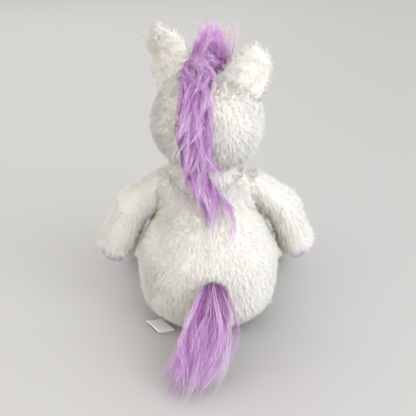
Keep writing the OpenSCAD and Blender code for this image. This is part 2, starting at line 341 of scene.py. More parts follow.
def mottled(name, light, dark, roughness=0.9, patch=60.0, bump=0.4, sheen=0.2, coat=0):
    """Cloth skin, plastic or paint with cloudy colour and a fine bump."""
    return material(
        name, "Mottled Cloth", {"Light": light, "Dark": dark, "Patch Scale": patch},
        {"Roughness": roughness, "Sheen Weight": sheen, "Coat Weight": coat}, bump, 0.4 * MM)


def woven(name, light, dark, threads, roughness, bump=0.5, metallic=0):
    """Woven cloth or thread."""
    return material(
        name, "Plain Weave", {"Light": light, "Dark": dark, "Threads": threads},
        {"Roughness": roughness, "Sheen Weight": 0.2, "Metallic": metallic}, bump, 0.2 * MM)


def times(tint, share):
    return tuple(share * c for c in tint)


def plush_pile():
    p = plush()
    # Painted shade: the roots are cream, as shade deep in the pile, and the crease colour, a painted warm
    # shade, is what creases and some clumps turn towards.
    return fibre("Cream pile", p.cream, p.white, p.white, p.crease, 0.6, roughness=0.95, gloss=0.1)


def plush_skin():
    p = plush()
    return mottled("Cream skin", p.white, p.cream)


def mane_fibre():
    m = mane()
    return fibre("Lilac strands", m.root, m.middle, m.tip, m.pale, 0.6, roughness=0.6, sheen=0, gloss=0.2)


# ---- stuffed forms ----

def select_only(*things):
    """Selects these objects and no other, with the first one active."""
    bpy.ops.object.select_all(action="DESELECT")
    for thing in things:
        thing.select_set(True)
    bpy.context.view_layer.objects.active = things[0]


@contextmanager
def editing(thing):
    """Edit mode on one object, with all of it selected."""
    select_only(thing)
    bpy.ops.object.mode_set(mode="EDIT")
    bpy.ops.mesh.select_all(action="SELECT")
    yield
    bpy.ops.object.mode_set(mode="OBJECT")


def primitive(kind, name=None, **facts):
    """A new mesh primitive, which is then the one selected object."""
    bpy.ops.object.select_all(action="DESELECT")
    getattr(bpy.ops.mesh, f"primitive_{kind}_add")(**facts)
    thing = bpy.context.active_object
    if name:
        thing.name = name
    return thing


def join(things):
    """Joins objects into the first one."""
    select_only(*things)
    if len(things) > 1:
        bpy.ops.object.join()
    return things[0]


def apply_modifier(thing, kind, **facts):
    """Adds a modifier with its values, and applies it."""
    select_only(thing)
    modifier = thing.modifiers.new(kind.title(), kind)
    for name, value in facts.items():
        setattr(modifier, name, value)
    bpy.ops.object.modifier_apply(modifier=modifier.name)


def shade_smooth(thing):
    thing.data.polygons.foreach_set("use_smooth", np.ones(len(thing.data.polygons), bool))


def get_points(thing):
    points = np.empty(len(thing.data.vertices) * 3)
    thing.data.vertices.foreach_get("co", points)
    return points.reshape(-1, 3)


def set_points(thing, points):
    thing.data.vertices.foreach_set("co", np.asarray(points, np.float32).ravel())
    thing.data.update()


def get_normals(thing):
    normals = np.empty(len(thing.data.vertices) * 3)
    thing.data.vertex_normals.foreach_get("vector", normals)
    return normals.reshape(-1, 3)


def link(name, mesh):
    thing = bpy.data.objects.new(name, mesh)
    bpy.context.scene.collection.objects.link(thing)
    return thing


def copy_node(name, node):
    """A new object with its own copy of a CAD node's mesh, its doubles merged and no material."""
    mesh = frame["nodes"][node].data.copy()
    mesh.materials.clear()
    thing = link(name, mesh)
    with editing(thing):
        bpy.ops.mesh.remove_doubles(threshold=0.01 * MM)
    return thing


SWELL_FRAMES = 20
SWELL_PRESSURE = 4.0


def swell(thing, limit):
    """Blows a closed form up as cloth under pressure, no point further than a limit."""
    before = get_points(thing)
    scene = bpy.context.scene
    select_only(thing)
    cloth = thing.modifiers.new("Cloth", "CLOTH")
    cloth.settings.use_pressure = True
    cloth.settings.uniform_pressure_force = SWELL_PRESSURE
    cloth.settings.effector_weights.gravity = 0
    cloth.settings.quality = 4
    for number in range(1, SWELL_FRAMES + 1):
        scene.frame_set(number)
    bpy.ops.object.modifier_apply(modifier=cloth.name)
    scene.frame_set(1)
    moved = get_points(thing) - before
    far = np.linalg.norm(moved, axis=1, keepdims=True)
    set_points(thing, before + moved * np.minimum(1, limit / np.maximum(far, 1e-9)))


def stuff(thing, voxel, inset, limit):
    """Turns a solid into a stuffed form: remeshed, drawn in, blown up as cloth, then made smooth."""
    apply_modifier(thing, "REMESH", mode="VOXEL", voxel_size=voxel, use_smooth_shade=True)
    apply_modifier(thing, "SMOOTH", factor=0.5, iterations=4)
    set_points(thing, get_points(thing) - inset * get_normals(thing))
    swell(thing, limit)
    apply_modifier(thing, "SMOOTH", factor=0.5, iterations=3)
    apply_modifier(thing, "SUBSURF", levels=1, render_levels=1)
    shade_smooth(thing)
    return thing


def pinch(thing, at, along, width, depth):
    """Draws a form in along a seam that lies in a plane."""
    points = get_points(thing)
    off = (points - np.asarray(at)) @ np.asarray(along)
    pull = depth * np.exp(-(off / width) ** 2)
    set_points(thing, points - pull[:, None] * get_normals(thing))


def part_form(thing, name, at, along):
    """Cuts a form at a plane. What lies past the plane becomes a new form, and both are closed."""
    other = link(name, thing.data.copy())
    for form, outer in ((thing, True), (other, False)):
        with editing(form):
            bpy.ops.mesh.bisect(plane_co=Vector(at), plane_no=Vector(along), use_fill=True,
                                clear_outer=outer, clear_inner=not outer)
    return other


def finish_piece(thing, look, body, nodes=()):
    """Gives a piece its material and its body, and hides the CAD nodes that it stands for."""
    thing.data.materials.clear()
    thing.data.materials.append(look)
    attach(thing, body)
    if nodes:
        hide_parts(*nodes)
    return thing


# ---- pile and strands ----

def scatter(thing, per_mm2, rng):
    """Points spread evenly over a form, with the normals there."""
    mesh = thing.data
    mesh.calc_loop_triangles()
    corners = np.empty(len(mesh.loop_triangles) * 3, np.int32)
    mesh.loop_triangles.foreach_get("vertices", corners)
    corners = corners.reshape(-1, 3)
    points, normals = get_points(thing)[corners], get_normals(thing)[corners]
    area = np.linalg.norm(np.cross(points[:, 1] - points[:, 0], points[:, 2] - points[:, 0]), axis=1) / 2
    count = int(area.sum() / MM ** 2 * per_mm2)
    chosen = rng.choice(len(area), count, p=area / area.sum())
    share = rng.dirichlet((1, 1, 1), count)[:, :, None]
    place = (points[chosen] * share).sum(1)
    facing = (normals[chosen] * share).sum(1)
    return place, unit(facing)


def unit(vectors):
    return vectors / np.maximum(np.linalg.norm(vectors, axis=-1, keepdims=True), 1e-12)


TUBE_SIDES = 3
COLUMN_EDGE = 0.06
ROUNDNESS = 0.2


def tube_pattern(rings):
    """One tube's corners, its faces' sizes, and how far along and around it each corner is."""
    k = np.arange(TUBE_SIDES)
    following = (k + 1) % TUBE_SIDES
    corners, along, around = [], [], []
    for ring in range(rings - 1):
        low, high = ring * TUBE_SIDES, (ring + 1) * TUBE_SIDES
        corners.append(np.stack([low + k, low + following, high + following, high + k], 1))
        along.append(np.tile([ring, ring, ring + 1, ring + 1], TUBE_SIDES))
        around.append(np.stack([k, k + 1, k + 1, k], 1))
    last, tip = (rings - 1) * TUBE_SIDES, np.full(TUBE_SIDES, rings * TUBE_SIDES)
    corners.append(np.stack([last + k, last + following, tip], 1))
    along.append(np.tile([rings - 1, rings - 1, rings], TUBE_SIDES))
    around.append(np.stack([k, k + 1, k + 0.5], 1))
    corners, along, around = (
        np.concatenate([part.ravel() for part in parts]) for parts in (corners, along, around))
    sizes = np.repeat([4, 3], [TUBE_SIDES * (rings - 1), TUBE_SIDES])
    return corners, sizes, along / rings, around / TUBE_SIDES


def tubes(name, paths, radii, shades, normals=None, ripe=1):
    """One mesh of thin pointed tubes. paths is (count, steps, 3), radii one for each step but the last.

    shades picks the colour of each, and ripe says how far towards the tip's colour it gets. Where there
    are normals, each is lit softly, like the surface that it grows from.
    """
    count, steps, _ = paths.shape
    rings = steps - 1
    ahead = unit(np.diff(paths, axis=1))
    reference = np.where(np.abs(ahead[:, :1, 2:]) < 0.9, [[[0, 0, 1.0]]], [[[1.0, 0, 0]]])
    across = unit(np.cross(ahead, reference))
    up = np.cross(ahead, across)
    turn = 2 * np.pi * np.arange(TUBE_SIDES) / TUBE_SIDES
    spokes = across[:, :, None] * np.cos(turn)[:, None] + up[:, :, None] * np.sin(turn)[:, None]
    ring_points = paths[:, :-1, None] + spokes * np.asarray(radii)[..., None, None]
    points = np.concatenate([ring_points.reshape(count, -1, 3), paths[:, -1:]], 1)
    corners, sizes, along, around = tube_pattern(rings)
    number = np.arange(count)[:, None]
    starts = np.concatenate([[0], np.cumsum(sizes)[:-1]]) + len(corners) * number

    mesh = bpy.data.meshes.new(name)
    mesh.vertices.add(points.size // 3)
    mesh.vertices.foreach_set("co", points.astype(np.float32).ravel())
    mesh.loops.add(len(corners) * count)
    mesh.loops.foreach_set("vertex_index", (corners + points.shape[1] * number).astype(np.int32).ravel())
    mesh.polygons.add(starts.size)
    mesh.polygons.foreach_set("loop_start", starts.astype(np.int32).ravel())
    mesh.polygons.foreach_set("use_smooth", np.ones(starts.size, bool))

    column = np.clip(np.floor(np.asarray(shades) * SHADES), 0, SHADES - 1)[:, None]
    u = (column + COLUMN_EDGE + (1 - 2 * COLUMN_EDGE) * around) / SHADES
    v = 0.01 + 0.98 * along * np.broadcast_to(ripe, count)[:, None]
    mesh.uv_layers.new(name=FIBRE_MAP).data.foreach_set("uv", np.stack([u, v], -1).astype(np.float32).ravel())
    mesh.update(calc_edges=True)
    if normals is not None:
        outward = np.concatenate([spokes.reshape(count, -1, 3), ahead[:, -1:]], 1)
        soft = unit(outward * ROUNDNESS + normals[:, None])
        custom = mesh.attributes.new("custom_normal", "FLOAT_VECTOR", "POINT")
        custom.data.foreach_set("vector", soft.astype(np.float32).ravel())
        mesh.update()
    return link(name, mesh)


def nearest_of(centres, points):
    """The number of the centre that is nearest to each point."""
    tree = kdtree.KDTree(len(centres))
    for number, centre in enumerate(centres):
        tree.insert(centre, number)
    tree.balance()
    return np.array([tree.find(point)[1] for point in points])


def some_of(place, every, rng):
    """One in so many places, picked at random, as their numbers."""
    return rng.choice(len(place), max(1, len(place) // every), replace=False)


NOISE_SEED = 5  # without one, Blender starts its noise from the clock


def wander(points, scale, seed):
    """Slow smooth change of direction over a surface."""
    noise.seed_set(NOISE_SEED)
    shift = Vector((seed * 7.3, seed * 3.1, seed * 5.7))
    return np.array([noise.noise_vector(Vector(p) * scale + shift) for p in points])


LONG_TUFTS = 0.22
TUFTS_IN_A_SWIRL = 60
TUFTS_IN_A_CLUMP, CLUMP_PULL = 10, 0.45
TUFT_FOOT = 0.6 * MM
TUFT_LOWEST = 0.4 * MM


def brush(name, form, body, look, comb, size=None, density=None, lean=0.55, keep=None, tint=None,
          seed=1, parts=1, thick=None):
    """Covers a form with pile: straight undercoat and longer bent tufts, drawn together in clumps."""
    rng = np.random.default_rng(seed)
    size = size or plush().pile
    density = density or plush().density
    thick = thick or plush().hair
    place, facing = scatter(form, density, rng)
    if keep is not None:
        kept = keep(place, facing)
        place, facing = place[kept], facing[kept]
    count = len(place)
    flow = comb(place, facing)
    flow = unit(flow - (flow * facing).sum(1, keepdims=True) * facing)
    coarse = place[some_of(place, TUFTS_IN_A_SWIRL, rng)]
    swirls = wander(coarse, 55.0, seed) + 0.7 * wander(coarse, 150.0, seed + 9)
    swirl = swirls[nearest_of(coarse, place)]
    long_ones = rng.random(count) < LONG_TUFTS
    reach = size * (0.62 + 0.38 * rng.random(count) + 0.18 * long_ones)
    lay = unit(facing + lean * (flow + 0.9 * swirl + 0.35 * rng.normal(size=(count, 3))))
    tips = place + reach[:, None] * lay
    centres = some_of(place, TUFTS_IN_A_CLUMP, rng)
    clump = nearest_of(place[centres], place)
    tips = tips + (tips[centres][clump] - tips) * CLUMP_PULL
    tips = place + (tips - place) * rng.uniform(0.85, 1.08, clump.max() + 1)[clump][:, None]
    place = place - TUFT_FOOT * facing
    tips[:, 2] = np.maximum(tips[:, 2], TUFT_LOWEST)
    middle = (place + tips) / 2 + facing * (0.16 * reach)[:, None]
    middle[:, 2] = np.maximum(middle[:, 2], TUFT_LOWEST)
    depth_of_clump = rng.random(clump.max() + 1) ** 2
    shade = 0.13 * depth_of_clump[clump] + 0.04 * rng.random(count)
    # Painted shade: a tint turns the pile towards the colour given as Pale, the crease colour in the cream
    # pile, where the place lies in a crease.
    if tint is not None:
        shade = np.maximum(shade, tint(place) * (0.75 + 0.25 * rng.random(count)))
    off = place - place.mean(0)
    sector = ((np.arctan2(off[:, 1], off[:, 0]) / (2 * np.pi) + 0.5) * parts).astype(int)
    layers = (("under", ~long_ones, (place, tips), (2,)),
              ("over", long_ones, (place, middle, tips), (2, 2.6)))
    for part in range(parts):
        for label, chosen, steps, narrowing in layers:
            mine = chosen & (np.clip(sector, 0, parts - 1) == part)
            if mine.any():
                paths = np.stack([step[mine] for step in steps], 1)
                radii = [thick / share for share in narrowing]
                piece = tubes(f"{name}_{label}_{part + 1}", paths, radii, shade[mine], facing[mine])
                finish_piece(piece, look, body)


def near(points, centre, radius):
    return np.linalg.norm(points - np.asarray(centre), axis=1) < radius


def distance_to_line(points, a, b):
    a, b = np.asarray(a), np.asarray(b)
    t = np.clip(((points - a) @ (b - a)) / ((b - a) @ (b - a)), 0, 1)
    return np.linalg.norm(points - (a + t[:, None] * (b - a)), axis=1)


def towards(direction):
    """A comb that runs one way."""
    return lambda place, facing: np.broadcast_to(np.asarray(direction, float), place.shape)


# ---- body ----

LEG_COVER = 3.3 * MM
FRONT_HOOF_R, FRONT_HOOF_LENGTH = 16.5 * MM, 14 * MM
HIND_HOOF_R, HIND_HOOF_LENGTH = 23.5 * MM, 19 * MM


def fitted_end(node, ball_r):
    """Centre of the ball that ends a leg: the far corner of its box, drawn in by the ball's radius."""
    low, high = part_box(node)
    x = (high.x - ball_r) if low.x + high.x > 0 else (low.x + ball_r)
    return np.array([x, low.y + ball_r, low.z + ball_r])


def on_both(make):
    """What a function makes of each side's name, by side."""
    return {side: make(word) for side, word in SIDE_NAMES.items()}


SHOULDER = on_both(lambda word: np.array(JOINTS[f"{word}_foreleg_swing"]["pos_m"]))
HIP = on_both(lambda word: np.array(JOINTS[f"{word}_hindleg_lift"]["pos_m"]))
FORELEG_ELBOW = {side: np.array([side * 64, -3, 95]) * MM for side in (LEFT, RIGHT)}
FORELEG_TIP = on_both(lambda word: fitted_end(f"foreleg_filling_{word}", FRONT_HOOF_R - LEG_COVER))
HIND_TIP = on_both(lambda word: fitted_end(f"hindleg_filling_{word}", HIND_HOOF_R - LEG_COVER))


def lathe_points(thing, heights, radii):
    """Shapes a round primitive's rings to an outline that starts and ends on the axis."""
    outline_r = np.concatenate([[0], radii, [0]])
    outline_z = np.concatenate([[heights[0]], heights, [heights[-1]]])
    run = np.concatenate([[0], np.cumsum(np.hypot(np.diff(outline_r), np.diff(outline_z)))])
    points = get_points(thing)
    flat = np.hypot(points[:, 0], points[:, 1])
    share = np.arctan2(flat, -points[:, 2]) / np.pi * run[-1]
    across = np.interp(share, run, outline_r) / np.maximum(flat, 1e-9)
    z = np.interp(share, run, outline_z)
    set_points(thing, np.stack([points[:, 0] * across, points[:, 1] * across, z], 1))


def fades(values, start, over):
    """1 up to a start, then down to 0 over a length."""
    return 1 - np.clip((values - start) / over, 0, 1)


def body_crease_shade(place):
    """How deep in a crease a place on the body is: under a foreleg, beside a hind leg, along the back seam.
    """
    upper_arm_r, lower_arm_r, hind_leg_r = 15 * MM, 16 * MM, 21 * MM
    # Painted shade: the pile under each foreleg and beside each hind leg is tinted towards the crease colour,
    # and a faint line of the same tint runs along the back seam.
    depth = np.zeros(len(place))
    for side in (LEFT, RIGHT):
        arm = np.minimum(distance_to_line(place, SHOULDER[side], FORELEG_ELBOW[side]) - upper_arm_r,
                         distance_to_line(place, FORELEG_ELBOW[side], FORELEG_TIP[side]) - lower_arm_r)
        leg = distance_to_line(place, HIP[side], HIND_TIP[side]) - hind_leg_r
        low = np.clip((108 * MM - place[:, 2]) / (14 * MM), 0, 1)
        depth = np.maximum(depth, low * fades(arm, 2 * MM, 9 * MM))
        depth = np.maximum(depth, 0.5 * fades(leg, 0, 7 * MM))
    seam = (np.abs(place[:, 0] - BACK_SEAM_X) / (1.2 * MM)
            + np.clip((60 * MM - place[:, 2]) / (10 * MM), 0, 9))
    behind = (place[:, 1] > 0) & (place[:, 2] < 100 * MM)
    return np.maximum(depth, 0.18 * behind * np.clip(1 - seam, 0, 1))


BODY_INSET = 3 * MM
BODY_FLOOR = 1.5 * MM
BACK_SEAM_DEPTH, BACK_SEAM_WIDTH = 0.8 * MM, 3 * MM
DOWN = (0, 0, -1)


class UNICORN_OT_body(bpy.types.Operator):
    """Stuffs the body, draws in its back seam and brushes its pile"""

    bl_idname = "unicorn.body"
    bl_label = "Body"

    def execute(self, context):
        form = primitive("uv_sphere", "body_plush", segments=64, ring_count=48, radius=body_radius(45 * MM))
        lathe_points(form, np.maximum(BODY_Z, BODY_INSET), np.maximum(BODY_R - BODY_INSET, 1 * MM))
        for centre, radius in SHOULDER_BALL.values():
            join([form, primitive("uv_sphere", segments=24, ring_count=16, radius=radius, location=centre)])
        stuff(form, 5 * MM, BODY_INSET, 2.6 * MM)
        points = get_points(form)
        behind = (points[:, 1] > 0) * (points[:, 2] > 8 * MM)
        seam = np.exp(-((points[:, 0] - BACK_SEAM_X) / BACK_SEAM_WIDTH) ** 2) * behind
        points = points - (BACK_SEAM_DEPTH * seam)[:, None] * get_normals(form)
        points[:, 2] = np.maximum(points[:, 2], BODY_FLOOR)
        set_points(form, points)
        finish_piece(form, plush_skin(), "torso", ["body_cover", "body_filling"])

        def kept(place, facing):
            hidden = near(place, NECK, NECK_R - 3 * MM) | ((facing[:, 2] < -0.6) & (place[:, 2] < 3 * MM))
            for side in (LEFT, RIGHT):
                hidden |= near(place, SHOULDER[side], 8 * MM) | near(place, HIP[side], 15 * MM)
            return ~hidden

        brush("body_pile", form, "torso", plush_pile(), towards(DOWN), keep=kept,
              tint=body_crease_shade, seed=11, parts=3)
        return {"FINISHED"}


# ---- neck and head ----

NECK_SCALE, NECK_FLARE = [1.22, 1.1, 1.1], [0.3, 0.3, -0.2]
NECK_SHIFT = np.array([4, 1, 2]) * MM


class UNICORN_OT_neck(bpy.types.Operator):
    """Stuffs the soft neck between the body and the head"""

    bl_idname = "unicorn.neck"
    bl_label = "Neck"

    def execute(self, context):
        form = stuff(copy_node("neck_plush", "neck_filling"), 4 * MM, 0.5 * MM, 2 * MM)
        own = get_points(form) - NECK
        flare = np.clip(-own[:, 2:] / (16 * MM), 0, 1) ** 1.5
        own = own * NECK_SCALE * (1 + flare * NECK_FLARE)
        set_points(form, NECK + own + NECK_SHIFT)
        finish_piece(form, plush_skin(), "neck", ["neck_cover", "neck_filling"])
        brush("neck_pile", form, "neck", plush_pile(), towards(DOWN), seed=21, size=7 * MM,
              lean=0.9, keep=lambda place, facing: np.abs(facing[:, 2]) < 0.85)
        return {"FINISHED"}


HEAD_SCALE = [1.06, 1, 1.03]
HEAD_SEAM_WIDTH, HEAD_SEAM_DEPTH = 2.5 * MM, 1.2 * MM
MOUTH_TILT, MOUTH_FROM, MOUTH_TO, MOUTH_POINTS = 22, -122, -58, 10


def head_comb(place, facing):
    """Pile runs back from the face and down."""
    return from_head(np.broadcast_to([0, 0.55, -0.8], place.shape))


def middle_of(node):
    """Centre of a CAD node's box."""
    low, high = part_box(node)
    return np.array((low + high) / 2)


def eye_centre(word):
    """Centre of an eye, on the head's skin."""
    skull = from_head(SKULL)
    return skull + SKULL_R * unit(middle_of(f"eye_{word}") - skull)


def mouth_line():
    """Points along the mouth, on the ball that the muzzle ends in."""
    tilt = np.array(Matrix.Rotation(math.radians(MOUTH_TILT), 3, "X"))
    turns = np.radians(np.linspace(MOUTH_FROM, MOUTH_TO, MOUTH_POINTS))
    arc = SNOUT_R * np.stack([np.cos(turns), np.sin(turns), np.zeros(MOUTH_POINTS)], 1)
    return from_head(arc @ tilt.T + SNOUT_TIP)


def laid_on(form, points, lift):
    """Points moved to the nearest place on a form, and a little off it."""
    spots = []
    for point in points:
        _, spot, normal, _ = form.closest_point_on_mesh(Vector(point))
        spots.append(np.array(spot + lift * normal))
    return np.array(spots)


class UNICORN_OT_head(bpy.types.Operator):
    """Stuffs the head, cuts the short-pile muzzle at its seam and brushes both"""

    bl_idname = "unicorn.head"
    bl_label = "Head and muzzle"

    def execute(self, context):
        form = stuff(copy_node("head_plush", "head_filling"), 4.5 * MM, 0.6 * MM, 2 * MM)
        own = to_head(get_points(form)) - SKULL
        set_points(form, from_head(SKULL + own * HEAD_SCALE))
        along = unit(SNOUT_TIP - SNOUT_FOOT)
        seam = from_head(SNOUT_FOOT + SNOUT_SEAM * along)
        facing_out = from_head(along)
        pinch(form, seam, facing_out, HEAD_SEAM_WIDTH, HEAD_SEAM_DEPTH)
        muzzle = part_form(form, "muzzle_plush", seam, facing_out)
        finish_piece(form, plush_skin(), "head", ["head_cover", "head_filling"])
        p = plush()
        skin = mottled("Muzzle skin", p.muzzle, times(p.muzzle, 0.9))
        finish_piece(muzzle, skin, "head", ["muzzle_cover"])
        eyes = [eye_centre(word) for word in SIDE_NAMES.values()]

        def kept(place, facing):
            clear = ~near(place, NECK, NECK_R - 4 * MM)
            for eye in eyes:
                clear &= ~near(place, eye, 6.5 * MM)
            return clear & (np.abs((place - seam) @ facing_out) >= 0.2 * MM)

        brush("head_pile", form, "head", plush_pile(), head_comb, keep=kept, seed=31, parts=2)
        nostrils = laid_on(muzzle, [middle_of(f"nostril_{word}") for word in SIDE_NAMES.values()], 0)
        mouth = laid_on(muzzle, mouth_line(), 0)

        def clear_of_stitches(place, facing):
            clear = (place - seam) @ facing_out > 0.3 * MM
            for nostril in nostrils:
                clear &= ~near(place, nostril, 2.8 * MM)
            for a, b in zip(mouth[:-1], mouth[1:]):
                clear &= distance_to_line(place, a, b) > 1.2 * MM
            return clear

        # Painted shade: the roots are darker than the tips, as shade deep in the pile.
        pile = fibre("Muzzle pile", times(p.muzzle, 0.85), p.muzzle, p.muzzle, p.crease, 0.5)
        brush("muzzle_pile", muzzle, "head", pile, head_comb, size=p.short_pile, seed=41,
              density=2.2, thick=0.4 * MM, keep=clear_of_stitches)
        return {"FINISHED"}


# ---- ears ----

def ear_place(side):
    """An ear's own place: X runs along its width, Z to its tip, and -Y is the way its lining faces."""
    return (Matrix.Rotation(HEAD_TURN, 4, "Z") @ Matrix.Translation(SKULL)
            @ Matrix.Rotation(side * EAR_TILT, 4, "Y") @ Matrix.Translation((0, 0, SKULL_R))
            @ Matrix.Rotation(side * (EAR_LEAN - EAR_TILT), 4, "Y")
            @ Matrix.Rotation(-side * EAR_FACE, 4, "Z"))


EAR_LENGTH = 30 * MM
EAR_SPREAD = {LEFT: 8.5 * MM, RIGHT: 8 * MM}
EAR_SINK = {LEFT: 7 * MM, RIGHT: 9 * MM}
EAR_BLUNT = {LEFT: 0.7, RIGHT: 0.1}
EAR_DROP = {LEFT: 0, RIGHT: 11 * MM}
EAR_FULLNESS = {LEFT: 0.5, RIGHT: 0.36}


def cup(thing, place, side, inward=0):
    """Widens an ear, curls its long edges forward round its lining and lets it lean out."""
    matrix = np.array(place)
    inverse = np.array(place.inverted())
    own = get_points(thing) @ inverse[:3, :3].T + inverse[:3, 3]
    height = np.clip(own[:, 2] / EAR_LENGTH, 0, 1)
    own[:, 0] *= (1 + EAR_FULLNESS[side] * (0.6 + 0.4 * np.sin(0.75 * np.pi * height))
                  + EAR_BLUNT[side] * np.clip((height - 0.7) / 0.3, 0, 1) + 0.3 * (1 - height) ** 2)
    own[:, 1] -= (own[:, 0] ** 2 / (60 * MM) - 1.5 * MM) * height
    own[:, 0] += side * EAR_SPREAD[side] * height ** 2 - side * inward * height
    own[:, 2] -= EAR_DROP[side] * height + EAR_SINK[side] * (1 - height)
    set_points(thing, own @ matrix[:3, :3].T + matrix[:3, 3])


class UNICORN_OT_ears(bpy.types.Operator):
    """Stuffs both ears, cups them and sews in their pink linings"""

    bl_idname = "unicorn.ears"
    bl_label = "Ears"

    def execute(self, context):
        p = plush()
        lining_skin = mottled("Lining skin", p.lining, times(p.lining, 0.85))
        # Painted shade: the roots are darker than the lining colour, as shade deep in the pile.
        lining_pile = fibre("Lining pile", times(p.lining, 0.8), p.lining, p.white, p.white, 0.5)
        for side, word in SIDE_NAMES.items():
            body = f"{word}_ear"
            place = ear_place(side)
            tip_way = np.array(place.col[2][:3])
            front = -np.array(place.col[1][:3])
            form = stuff(copy_node(f"ear_plush_{word}", f"ear_{word}"), 2.2 * MM, 0.3 * MM, 1.6 * MM)
            cup(form, place, side)
            finish_piece(form, plush_skin(), body, [f"ear_{word}"])
            brush(f"ear_pile_{word}", form, body, plush_pile(), towards(tip_way), size=5.5 * MM,
                  seed=51 + side, lean=0.6, keep=lambda at, facing: facing @ front < 0.55)
            lining = copy_node(f"ear_lining_plush_{word}", f"ear_lining_{word}")
            stuff(lining, 1.1 * MM, 0, 0.4 * MM)
            cup(lining, place, side, 4 * MM)
            finish_piece(lining, lining_skin, body, [f"ear_lining_{word}"])
            brush(f"ear_lining_pile_{word}", lining, body, lining_pile, towards(tip_way),
                  size=p.short_pile, seed=61 + side, density=2.4, thick=0.35 * MM, lean=0.8,
                  keep=lambda at, facing: facing @ front > 0.1)
        return {"FINISHED"}


# ---- legs ----

LEG_PLUMP = 1.2 * MM
FORELEG_SETTLE = {LEFT: np.array([0.95, 1, 0.97]), RIGHT: np.array([0.875, 1, 0.92])}
HIND_REACH = 60 * MM
HIND_ROOT_OUT, HIND_OUT = 8, 3


def leg_crease_shade(place):
    """How deep in the crease a place on a leg is, where it lies against the body."""
    # Painted shade: a leg's pile is tinted towards the crease colour where it lies against the body.
    off = np.hypot(place[:, 0], place[:, 1]) - body_radius(place[:, 2])
    low = np.clip((112 * MM - place[:, 2]) / (12 * MM), 0, 1) * (place[:, 2] > 20 * MM)
    return low * fades(off, 2 * MM, 9 * MM)


def leg(kind, hoof_kind, word, root, seam, way, seed, settle):
    """Stuffs a leg, lets it settle, cuts its hoof at the seam and brushes both."""
    p = plush()
    body, name, hoof = f"{word}_{kind}", f"{kind}_plush_{word}", f"{hoof_kind}_plush_{word}"
    nodes = [f"{kind}_cover_{word}", f"{kind}_filling_{word}"]
    form = stuff(copy_node(name, nodes[1]), 4 * MM, 0.8 * MM, 1.8 * MM)
    set_points(form, settle(get_points(form) + LEG_PLUMP * get_normals(form)))
    pinch(form, seam, way, HOOF_SEAM_WIDTH, 0.8 * MM)
    tip = part_form(form, hoof, seam, way)
    finish_piece(form, plush_skin(), body, nodes)
    hoof_skin = mottled("Hoof skin", p.lilac, times(p.lilac, 0.8))
    # Painted shade: the roots are darker than the tips, as shade deep in the pile.
    hoof_pile = fibre("Hoof pile", times(p.lilac, 0.8), p.lilac, p.lilac, p.white, 0.5)
    finish_piece(tip, hoof_skin, body, [f"{hoof_kind}_{word}"])

    def past_seam(place):
        return (place - seam) @ way

    brush(f"{name}_pile", form, body, plush_pile(), towards(way), seed=seed, tint=leg_crease_shade,
          keep=lambda place, facing: (past_seam(place) < -0.3 * MM) & ~near(place, root, 6 * MM))
    brush(f"{hoof}_pile", tip, body, hoof_pile, towards(way), size=4 * MM, seed=seed + 1,
          density=2.4, thick=0.4 * MM, keep=lambda place, facing: past_seam(place) > 0.3 * MM)


class UNICORN_OT_forelegs(bpy.types.Operator):
    """Stuffs the forelegs that hang at the sides, with their lilac hooves"""

    bl_idname = "unicorn.forelegs"
    bl_label = "Forelegs"

    def execute(self, context):
        for side, word in SIDE_NAMES.items():
            root = SHOULDER[side]
            way = unit(FORELEG_TIP[side] - FORELEG_ELBOW[side])
            seam = FORELEG_TIP[side] + (FRONT_HOOF_R - FRONT_HOOF_LENGTH) * way

            def settle(points, root=root, share=FORELEG_SETTLE[side]):
                return root + (points - root) * share

            leg("foreleg", "front_hoof", word, root, settle(seam), way, 70 + 10 * side, settle)
        return {"FINISHED"}


class UNICORN_OT_hind_legs(bpy.types.Operator):
    """Stuffs the hind legs that reach forward along the table, with their lilac hooves"""

    bl_idname = "unicorn.hind_legs"
    bl_label = "Hind legs"

    def execute(self, context):
        for side, word in SIDE_NAMES.items():
            way = unit(HIND_TIP[side] - HIP[side])
            seam = HIND_TIP[side] + (HIND_HOOF_R - HIND_HOOF_LENGTH) * way

            def settle(points, side=side):
                near_root = np.clip((points[:, 1] - HIND_TIP[side][1]) / HIND_REACH, 0, 1)
                return points - side * (HIND_ROOT_OUT * near_root + HIND_OUT)[:, None] * MM * [1, 0, 0]

            leg("hindleg", "hind_hoof", word, HIP[side], seam, way, 110 + 10 * side, settle)
        return {"FINISHED"}


# ---- mane and tail ----

def push_out(points, layer):
    """Moves points out of the head, the neck and the body, each to its own layer above them."""
    for centre, radius in ((from_head(SKULL), SKULL_R), (NECK, NECK_R)):
        off = points - centre
        far = np.linalg.norm(off, axis=1)
        least = radius + layer
        inside = far < least
        points[inside] = centre + off[inside] * (least[inside] / far[inside])[:, None]
        points[inside] = centre + off[inside] * (least[inside] / far[inside])[:, None]
    flat = np.hypot(points[:, 0], points[:, 1])
    least = body_radius(points[:, 2]) + layer
    inside = (flat < least) & (points[:, 2] < BODY_Z[-1])
    points[inside, :2] *= (least[inside] / np.maximum(flat[inside], 1e-6))[:, None]
    return points


def drape(roots, ways, reach, layer, pull, steps, stiff):
    """Lets locks fall from their roots over the toy. Returns (count, steps, 3)."""
    paths = [roots]
    place, way = roots, ways
    stride = reach / (steps - 1)
    for step in range(1, steps):
        weight = min(1.0, step / (steps * stiff))
        way = unit(way + weight * pull(place, step / (steps - 1)))
        onward = push_out(place + stride[:, None] * way, layer * np.minimum(1, step / 3))
        way = unit(onward - place)
        place = onward
        paths.append(place)
    return np.stack(paths, 1)


PALE_STRANDS = 0.14
TIP_THICKNESS = 0.45


